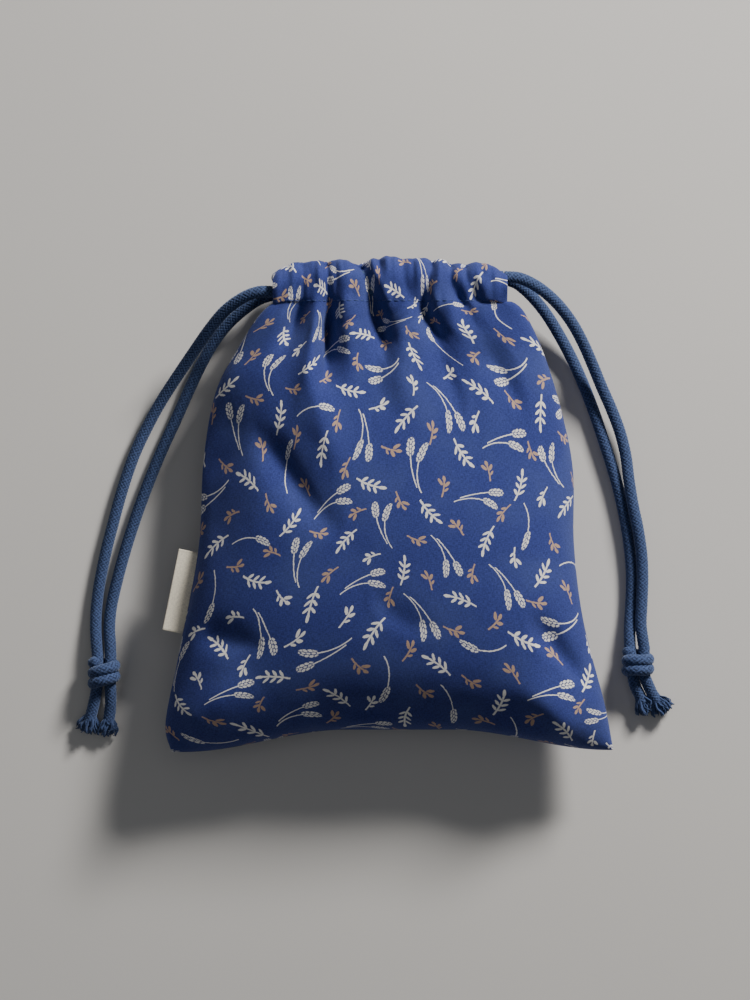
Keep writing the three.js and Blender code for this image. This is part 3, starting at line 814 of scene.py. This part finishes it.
def casing_rows(stitch_row, gathers):
    """Rows of points over the gathered casing, from the stitches round the fold to the hem inside."""
    section = smooth_route([(0, y * MM, z * MM) for y, z in CASING_SECTION], 0.0002)
    section = resample(section, CASING_ROWS + 1)[1:]
    x = stitch_row[:, 0]
    towards_end = smoothstep(np.abs(x) / CASING_HALF_WIDTH, 0.72, 1.0)
    droop = 0.0065 * (np.abs(x) / CASING_HALF_WIDTH) ** 5
    uneven = 0.0008 * np.sin(x * 118 + 0.8) + 0.0005 * np.sin(x * 251 + 2.1)
    hem_z, cord_y, end_y, end_z = 0.0335, 0.1098, 0.1105, 0.0370
    rows = []
    for step, (_, y, z) in enumerate(section):
        outer = np.clip((z - hem_z) / 0.008, 0, 1)
        away = np.clip(step * 30 / CASING_ROWS / 7.0, 0, 1)
        settled = away * away * (3 - 2 * away)
        row_y = y + (end_y - y) * 0.16 * towards_end
        row_z = z + (end_z - z) * 0.16 * towards_end
        over_cord = np.exp(-((y - cord_y) / 0.0085) ** 4)
        course_y = np.full_like(x, y if outer > 0 else 0.123)
        depth = fold_depth(x, course_y, gathers, 1.4) * (0.30 + 0.70 * outer) * (1 - 0.40 * over_cord)
        at_fold = np.clip((y - 0.112) / 0.0105, 0, 1) ** 2
        body_z = stitch_row[:, 2] + fold_depth(x, stitch_row[:, 1], gathers, 1.4)
        blend = settled if z > hem_z else 1.0
        height = body_z + (row_z - body_z) * blend
        height = height - depth * outer + uneven * outer + depth * 0.2 * (1 - outer)
        folded_y = row_y - depth * 0.50 * at_fold + uneven * 1.3 * at_fold - droop
        rows.append(np.column_stack([x, folded_y, height]))
    return rows


def panel_points(rise, gathers, folds, floor_drop):
    """Start form and flat cut of one panel, as the front, row by row."""
    edges = (resample(smooth_route(LEFT_EDGE, 0.001), 200), resample(smooth_route(RIGHT_EDGE, 0.001), 200))
    start_rows, flat_rows = [], []
    flat_width = bpy.context.scene.pouch_settings.flat_width
    flat_x = np.linspace(0, flat_width, PANEL_COLUMNS + 1)
    for row in range(PANEL_ROWS + 1):
        share = row / PANEL_ROWS
        up = share ** 1.25
        fine = panel_section(up, rise, gathers, folds, edges, floor_drop)
        start_rows.append(resample(fine, PANEL_COLUMNS + 1))
    middle = slice(PANEL_COLUMNS // 2 - 20, PANEL_COLUMNS // 2 + 20)
    steps = [
        np.linalg.norm(start_rows[row + 1] - start_rows[row], axis=1)[middle].mean()
        for row in range(PANEL_ROWS)
    ]
    lengths = np.concatenate([[0], np.cumsum(steps)])
    for length in lengths / lengths[-1] * FLAT_PANEL_LENGTH:
        flat_rows.append(np.column_stack([flat_x, np.full_like(flat_x, length)]))
    for step, row in enumerate(casing_rows(start_rows[-1], gathers)):
        start_rows.append(row)
        length = FLAT_PANEL_LENGTH + FLAT_CASING_LENGTH * (step + 1) / CASING_ROWS
        flat_rows.append(np.column_stack([flat_x, np.full_like(flat_x, length)]))
    return np.array(start_rows), np.array(flat_rows)


def grid_faces(rows, columns):
    return [
        (row * columns + column, row * columns + column + 1,
         (row + 1) * columns + column + 1, (row + 1) * columns + column)
        for row in range(rows - 1) for column in range(columns - 1)
    ]


def add_flat_cut_uv(piece, flat):
    layer = piece.data.uv_layers.new(name="flat_cut")
    corners = np.zeros(len(piece.data.loops), np.int32)
    piece.data.loops.foreach_get("vertex_index", corners)
    layer.data.foreach_set("uv", flat[corners].astype(np.float32).reshape(-1))


def settle_cloth(piece, flat_points, held, frames, pressure, cap):
    """Lets the cloth settle from its start form towards its flat cut's lengths, and applies the result."""
    select_only(piece)
    start = np.array([v.co for v in piece.data.vertices])
    piece.shape_key_add(name="start")
    flat_key = piece.shape_key_add(name="flat cut")
    flat_key.value = 0.0
    flat_key.data.foreach_set("co", flat_points.astype(np.float32).reshape(-1))
    group = piece.vertex_groups.new(name="held")
    group.add([int(n) for n in held], 1.0, "REPLACE")
    modifier = piece.modifiers.new("settle", "CLOTH")
    cloth = modifier.settings
    cloth.vertex_group_mass = "held"
    cloth.rest_shape_key = flat_key
    cloth.quality = 6
    cloth.mass = 0.15
    cloth.tension_stiffness = 20
    cloth.compression_stiffness = 12
    cloth.shear_stiffness = 6
    cloth.bending_stiffness = 0.4
    cloth.tension_damping = 12
    cloth.compression_damping = 12
    cloth.air_damping = 4
    cloth.use_pressure = True
    cloth.uniform_pressure_force = pressure
    cloth.effector_weights.gravity = 0
    modifier.collision_settings.use_collision = False
    scene = bpy.context.scene
    for step in range(1, frames + 1):
        scene.frame_set(step)
    shape = piece.evaluated_get(bpy.context.evaluated_depsgraph_get())
    settled = np.array([v.co for v in shape.data.vertices])
    piece.modifiers.remove(modifier)
    piece.shape_key_clear()
    scene.frame_set(1)
    moved = settled - start
    distance = np.linalg.norm(moved, axis=1)[:, None]
    moved *= np.minimum(1, cap / np.maximum(distance, 1e-9))
    piece.data.vertices.foreach_set("co", (start + moved).astype(np.float32).reshape(-1))
    piece.data.update()
    piece.vertex_groups.clear()


def cloth_panel(name, rise, gathers, folds, sign):
    """One panel as a settled sheet. sign is 1 for the front and -1 for the back."""
    settings = bpy.context.scene.pouch_settings
    floor_drop = 1.0 if sign > 0 else 2 * SEAM_HEIGHT - settings.cloth_thickness * 0.5
    start, flat = panel_points(rise, gathers, folds, floor_drop)
    rows, columns = start.shape[:2]
    points = start.reshape(-1, 3).copy()
    faces = grid_faces(rows, columns)
    if sign < 0:
        points[:, 2] = 2 * SEAM_HEIGHT - points[:, 2]
        faces = [tuple(reversed(face)) for face in faces]
    material = material_named("printed cotton", printed_cotton, settings)
    piece = new_object(name, points, faces, material)
    flat_2d = flat.reshape(-1, 2)
    add_flat_cut_uv(piece, flat_2d)
    number = np.arange(rows * columns).reshape(rows, columns)
    held = np.concatenate([number[:2].ravel(), number[PANEL_ROWS:].ravel(),
                           number[:, :2].ravel(), number[:, -2:].ravel()])
    flat_3d = np.column_stack([flat_2d, np.zeros(len(flat_2d))])
    settle_cloth(piece, flat_3d, np.unique(held), frames=26, pressure=2.2, cap=0.014)
    if sign < 0:
        co = np.array([v.co for v in piece.data.vertices])
        co[:, 2] = np.maximum(co[:, 2], settings.cloth_thickness * 0.5)
        piece.data.vertices.foreach_set("co", co.astype(np.float32).reshape(-1))
    select_only(piece)
    smooth = piece.modifiers.new("smooth", "SUBSURF")
    smooth.levels = smooth.render_levels = 1
    bpy.ops.object.modifier_apply(modifier=smooth.name)
    wall = piece.modifiers.new("wall", "SOLIDIFY")
    wall.thickness = settings.cloth_thickness
    wall.offset = -1.0
    bpy.ops.object.modifier_apply(modifier=wall.name)
    piece.data.shade_smooth()
    return piece


def stitch_row(name, panel_name, y, half_span, sign):
    """Stitches of the casing row: short threads that follow the cloth, each dipping in at its ends."""
    trim = bpy.context.scene.trim_settings
    panel = bpy.data.objects[panel_name]
    depsgraph = bpy.context.evaluated_depsgraph_get()
    radius = trim.thread_diameter / 2

    def on_cloth(x):
        hit, place, normal, _ = panel.evaluated_get(depsgraph).ray_cast(
            Vector((x, y, SEAM_HEIGHT + sign * 0.08)), Vector((0, 0, -sign)))
        if not hit:
            raise RuntimeError(f"{name}: there is no cloth under x = {x:.4f}")
        return np.array(place), np.array(normal)

    fine_x = np.linspace(-half_span, half_span, 700)
    path = np.array([on_cloth(x)[0] for x in fine_x])
    travelled = np.concatenate([[0], np.cumsum(np.linalg.norm(np.diff(path, axis=0), axis=1))])
    pitch = trim.stitch_length * 1.3
    corners = 6
    vertices, faces = [], []
    for number in range(int(travelled[-1] / pitch)):
        stops = number * pitch + np.linspace(0, trim.stitch_length, 6)
        places = np.column_stack([np.interp(stops, travelled, path[:, axis]) for axis in range(3)])
        dips = np.array([-0.9, 0.3, 0.75, 0.75, 0.3, -0.9]) * radius
        tangent = places[-1] - places[0]
        tangent /= np.linalg.norm(tangent)
        out = np.array((0, 0, sign), float)
        out -= tangent * (out @ tangent)
        out /= np.linalg.norm(out)
        aside = np.cross(tangent, out)
        first = len(vertices)
        for place, dip in zip(places, dips):
            for corner in range(corners):
                angle = corner * 2 * math.pi / corners
                around = radius * (math.cos(angle) * aside + math.sin(angle) * out)
                vertices.append(place + out * dip + around)
        faces += tube_faces(first, len(places), corners)
    piece = new_object(name, vertices, faces, material_named("sewing thread", sewing_thread))
    face_outwards(piece)
    return piece


def frayed_yarns(name, route, settings, seed, spread):
    """The cut end of a cord: its braid comes apart into loose yarns."""
    draw = random.Random(seed)
    end = route[-1]
    direction = route[-1] - route[-6]
    direction /= np.linalg.norm(direction)
    aside = np.cross(direction, (0, 0, 1))
    aside /= np.linalg.norm(aside)
    up = np.cross(aside, direction)
    vertices, faces = [], []
    rings, corners = 9, 5
    for number in range(YARNS_PER_FRAY):
        thick = 0.00058 if number < THICK_YARNS else 0.00030
        angle = draw.uniform(0, 2 * math.pi)
        off = math.sqrt(draw.random())
        sway = off * math.cos(angle) + draw.uniform(-0.15, 0.15)
        rise = off * math.sin(angle)
        length = draw.uniform(0.0060, 0.0102)
        curl = draw.uniform(-0.0016, 0.0016)
        kink, phase = draw.uniform(0.00025, 0.0006), draw.uniform(0, 2 * math.pi)
        base = end - direction * 0.003 + (aside * sway + up * rise) * settings.diameter * 0.38
        first = len(vertices)
        for ring in range(rings):
            t = ring / (rings - 1)
            wave = kink * t * math.sin(phase + 9.0 * t)
            place = (base + direction * (length * t - abs(sway) * 0.0012 * t)
                     + aside * (sway * spread * t ** 1.2 + curl * math.sin(math.pi * t) + wave)
                     + up * (rise * spread * 0.5 * t + wave * 0.7))
            place[2] = max(place[2] - 0.0014 * t * t, thick + 0.0001)
            radius = thick * (1.0 if t < 0.9 else 0.72)
            for corner in range(corners):
                turn = corner * 2 * math.pi / corners
                vertices.append(place + radius * (math.cos(turn) * aside + math.sin(turn) * up))
        faces += tube_faces(first, rings, corners)
    piece = new_object(name, vertices, faces, cord_material(settings))
    face_outwards(piece)
    relief = piece.data.attributes.new("relief", "FLOAT", "POINT")
    yarn_of = np.arange(len(piece.data.vertices)) // (rings * corners)
    tone = 0.50 + 0.50 * np.sin(0.7 * yarn_of) ** 2
    relief.data.foreach_set("value", tone.astype(np.float32))
    return piece


def knot_wraps(name, middle, length, lean, settings, start_angle):
    """Two turns of the cord wound round both strands, drawn tight."""
    turns, steps = 2.35, 150
    half_width, half_height = 5.35 * MM, 5.0 * MM
    wind = []
    for step in range(steps):
        t = step / (steps - 1)
        angle = start_angle + 2 * math.pi * turns * t
        tuck = 1 - 0.42 * (smoothstep(t, 0.93, 1.0) + 1 - smoothstep(t, 0.0, 0.07))
        across = half_width * tuck * math.cos(angle)
        along = (0.5 - t) * length + across * lean
        wind.append((middle[0] + across, middle[1] + along, middle[2] + half_height * tuck * math.sin(angle)))
    route = smooth_route(wind[::3], 0.00034)
    return braided_tube(name, route, settings, cord_material(settings), taper_ends=True)


def build_knot(side, tails, middle, length, lean, seeds, spreads, start_angle):
    settings = bpy.context.scene.cord_settings
    material = cord_material(settings)
    pieces = [knot_wraps(f"{side}_knot_wraps", middle, length, lean, settings, start_angle)]
    for number, (tail, seed, spread) in enumerate(zip(tails, seeds, spreads)):
        route = smooth_route(in_metres(tail), 0.00034)
        pieces.append(braided_tube(f"{side}_tail_{number}", route, settings, material))
        pieces.append(frayed_yarns(f"{side}_fray_{number}", route, settings, seed, spread))
    return join_pieces(pieces, f"{side}_knot_and_tails")


def casing_run(side, exit_side, run_y, settings):
    """The held part of a drawstring: along the front casing, round the far slit and back along the other."""
    upper, lower = SEAM_HEIGHT + CASING_OFFSET, SEAM_HEIGHT - CASING_OFFSET
    inner_end = exit_side * 0.0566
    points = [(x, run_y, upper) for x in np.linspace(inner_end, -exit_side * TURN_X, 8)]
    for step in range(1, 10):
        angle = math.pi * step / 10
        points.append((-exit_side * (TURN_X + TURN_REACH * math.sin(angle)), run_y,
                       SEAM_HEIGHT + CASING_OFFSET * math.cos(angle)))
    points += [(x, run_y, lower) for x in np.linspace(-exit_side * TURN_X, inner_end, 8)]
    material = cord_material(settings)
    piece = braided_tube(f"{side}_casing_run", smooth_route(points, 0.0005), settings, material)
    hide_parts(f"{side}_drawstring")
    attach(piece, f"{side}_cord")


def free_strands(side, routes):
    settings = bpy.context.scene.cord_settings
    material = cord_material(settings)
    for level, points in routes.items():
        name = f"{side}_{level}_strand"
        route = smooth_route(in_metres(points), 0.00032)
        piece = braided_tube(name, route, settings, material)
        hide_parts(f"{side}_drawstring")
        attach(piece, f"{side}_cord")


def finish_knot(knot, side):
    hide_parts(f"{side}_knot")
    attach(knot, f"{side}_cord")


# Operators

class POUCH_OT_stage(bpy.types.Operator):
    """Adds the camera, the soft studio light and the pale floor"""

    bl_idname = "pouch.stage"
    bl_label = "Stage"

    def execute(self, context):
        lens, distance = 144.0, 2.0
        bpy.ops.object.camera_add(location=(-0.0072, 0.0025, SEAM_HEIGHT + distance), rotation=(0, 0, 0))
        camera = context.object
        camera.data.lens = lens
        camera.data.sensor_width = 36.0
        camera.data.clip_start = 0.01
        context.scene.camera = camera
        self.light("key", (0.98, 1.34, 0.90), 0.42, 62.0, (1.0, 0.97, 0.93))
        self.light("fill", (-0.9, -0.5, 1.6), 1.6, 1.8, (0.93, 0.96, 1.0))
        self.light("top", (0.1, 0.2, 2.4), 1.8, 2.6, (1.0, 1.0, 1.0))
        world = bpy.data.worlds.new("studio")
        world.use_nodes = True
        world.node_tree.nodes["Background"].inputs["Color"].default_value = (0.80, 0.84, 0.90, 1.0)
        world.node_tree.nodes["Background"].inputs["Strength"].default_value = 0.085
        context.scene.world = world
        bpy.ops.object.select_all(action="DESELECT")
        bpy.ops.mesh.primitive_plane_add(size=8.0, location=(0, 0, -0.0002))
        floor = context.object
        floor.name = "floor"
        material, write, shader = new_material("studio floor")
        place = write.node("ShaderNodeTexCoord").outputs["Object"]
        darker, paler = (0.60, 0.585, 0.565, 1.0), (0.63, 0.615, 0.595, 1.0)
        tone = write.mix_colour(write.noise(place, 6.0, 3.0), darker, paler)
        write.put(shader.inputs["Base Color"], tone)
        write.put(shader.inputs["Roughness"], write.ramp(write.noise(place, 40.0, 2.0), 0.3, 0.7, 0.86, 0.94))
        floor.data.materials.append(material)
        return {"FINISHED"}

    def light(self, name, place, size, power, colour):
        bpy.ops.object.light_add(type="AREA", location=place)
        lamp = bpy.context.object
        lamp.name = name
        lamp.data.size = size
        lamp.data.energy = power
        lamp.data.color = colour
        lamp.rotation_euler = Vector(place).to_track_quat("Z", "Y").to_euler()


class POUCH_OT_left_drawstring(bpy.types.Operator):
    """Lays the left drawstring from its knot through both casings"""

    bl_idname = "pouch.left_drawstring"
    bl_label = "Left Drawstring"

    def execute(self, context):
        knot = build_knot("left", LEFT_TAILS, in_metres([(-143.9, -84.4, 8.3)])[0], 0.0122, 0.10,
                          (11, 12), (0.0036, 0.0030), 2.2)
        finish_knot(knot, "left")
        free_strands("left", {"upper": LEFT_UPPER_STRAND, "lower": LEFT_LOWER_STRAND})
        casing_run("left", -1, LEFT_RUN_Y, context.scene.cord_settings)
        return {"FINISHED"}


class POUCH_OT_right_drawstring(bpy.types.Operator):
    """Lays the right drawstring from its knot through both casings"""

    bl_idname = "pouch.right_drawstring"
    bl_label = "Right Drawstring"

    def execute(self, context):
        knot = build_knot("right", RIGHT_TAILS, in_metres([(125.4, -79.8, 8.3)])[0], 0.0112, -0.16,
                          (21, 22), (0.0032, 0.0036), 2.6)
        finish_knot(knot, "right")
        free_strands("right", {"upper": RIGHT_UPPER_STRAND, "lower": RIGHT_LOWER_STRAND})
        casing_run("right", 1, RIGHT_RUN_Y, context.scene.cord_settings)
        return {"FINISHED"}


class POUCH_OT_panels(bpy.types.Operator):
    """Cuts, gathers and fills the front and back panels"""

    bl_idname = "pouch.panels"
    bl_label = "Cloth Panels"

    def execute(self, context):
        settings = context.scene.pouch_settings
        forms = {
            "front": (settings.front_rise, FRONT_GATHERS, FRONT_FOLDS, 1),
            "back": (settings.back_drop, BACK_GATHERS, BACK_FOLDS, -1),
        }
        for side, form in forms.items():
            piece = cloth_panel(f"{side}_cloth", *form)
            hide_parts(f"{side}_panel")
            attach(piece, "pouch")
        return {"FINISHED"}


class POUCH_OT_stitching(bpy.types.Operator):
    """Sews the casing rows and finishes the thread inside the seam"""

    bl_idname = "pouch.stitching"
    bl_label = "Stitching"

    def execute(self, context):
        for side, sign in (("front", 1), ("back", -1)):
            piece = stitch_row(f"{side}_stitches", f"{side}_cloth", STITCH_Y + 0.0004, 0.050, sign)
            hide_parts(f"{side}_casing_thread")
            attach(piece, "pouch")
        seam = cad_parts["seam_thread"]
        seam.data.materials.clear()
        seam.data.materials.append(material_named("sewing thread", sewing_thread))
        return {"FINISHED"}


class POUCH_OT_label(bpy.types.Operator):
    """Folds the blank woven tape that is caught in the left side seam"""

    bl_idname = "pouch.label"
    bl_label = "Side Label"

    def execute(self, context):
        top = np.array((-96.3, -23.6)) * MM
        tilt = -0.2
        down = np.array((math.sin(tilt), -math.cos(tilt)))
        out = np.array((-math.cos(tilt), -math.sin(tilt)))
        length, width, tape = 41.5 * MM, 9.2 * MM, 0.45 * MM
        lanes = [(-1.5 * MM, 0.5 * MM), (1.4 * MM, 0.56 * MM), (4.4 * MM, 0.6 * MM), (7.4 * MM, 0.6 * MM)]
        fold = [(width - 0.6 * MM + 0.6 * MM * math.sin(a), 0.6 * MM * math.cos(a))
                for a in np.linspace(0.15, math.pi - 0.15, 7)]
        section = lanes + fold + [(reach, -height) for reach, height in reversed(lanes)]
        walked = np.concatenate([[0], np.cumsum([math.dist(a, b) for a, b in zip(section, section[1:])])])
        rows = 34
        vertices, flat = [], []
        for row in range(rows + 1):
            t = row / rows
            for (reach, height), distance in zip(section, walked):
                outward = reach / width
                ripple = 0.35 * MM * math.sin(5.2 * t + 0.6) * outward + 0.9 * MM * outward * (t - 0.4)
                place = top + down * length * t + out * reach
                vertices.append((place[0], place[1], SEAM_HEIGHT + 0.1 * MM + height + ripple))
                flat.append((distance, t * length))
        columns = len(section)
        piece = new_object("woven_side_label", vertices, grid_faces(rows + 1, columns),
                           material_named("woven tape", woven_tape, context.scene.trim_settings))
        add_flat_cut_uv(piece, np.array(flat))
        face_up = piece.data.polygons[rows // 2 * (columns - 1) + 1].normal.z > 0
        if not face_up:
            piece.data.flip_normals()
        select_only(piece)
        wall = piece.modifiers.new("wall", "SOLIDIFY")
        wall.thickness = tape
        wall.offset = -1.0
        bpy.ops.object.modifier_apply(modifier=wall.name)
        smooth = piece.modifiers.new("smooth", "SUBSURF")
        smooth.levels = smooth.render_levels = 1
        bpy.ops.object.modifier_apply(modifier=smooth.name)
        piece.data.shade_smooth()
        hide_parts("side_label")
        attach(piece, "pouch")
        return {"FINISHED"}


class POUCH_PT_panel(bpy.types.Panel):
    """Lists the pouch's operators and settings"""

    bl_idname = "POUCH_PT_panel"
    bl_label = "Drawstring Pouch"
    bl_space_type = "VIEW_3D"
    bl_region_type = "UI"
    bl_category = "Pouch"

    def draw(self, context):
        for operator in OPERATORS:
            self.layout.operator(operator.bl_idname)
        scene = context.scene
        for settings in (scene.pouch_settings, scene.cord_settings, scene.trim_settings):
            box = self.layout.box()
            for name in settings.__annotations__:
                box.prop(settings, name)


OPERATORS = (
    POUCH_OT_stage,
    POUCH_OT_left_drawstring,
    POUCH_OT_right_drawstring,
    POUCH_OT_panels,
    POUCH_OT_stitching,
    POUCH_OT_label,
)
CLASSES = (PouchSettings, CordSettings, TrimSettings, *OPERATORS, POUCH_PT_panel)


def register():
    for kind in CLASSES:
        bpy.utils.register_class(kind)
    bpy.types.Scene.pouch_settings = bpy.props.PointerProperty(type=PouchSettings)
    bpy.types.Scene.cord_settings = bpy.props.PointerProperty(type=CordSettings)
    bpy.types.Scene.trim_settings = bpy.props.PointerProperty(type=TrimSettings)


def unregister():
    del bpy.types.Scene.trim_settings
    del bpy.types.Scene.cord_settings
    del bpy.types.Scene.pouch_settings
    for kind in reversed(CLASSES):
        bpy.utils.unregister_class(kind)


def main():
    register()
    bpy.ops.object.select_all(action="DESELECT")
    bpy.ops.pouch.stage()
    bpy.ops.pouch.left_drawstring()
    bpy.ops.pouch.right_drawstring()
    bpy.ops.pouch.panels()
    bpy.ops.pouch.stitching()
    bpy.ops.pouch.label()


if __name__ == "__main__":
    main()
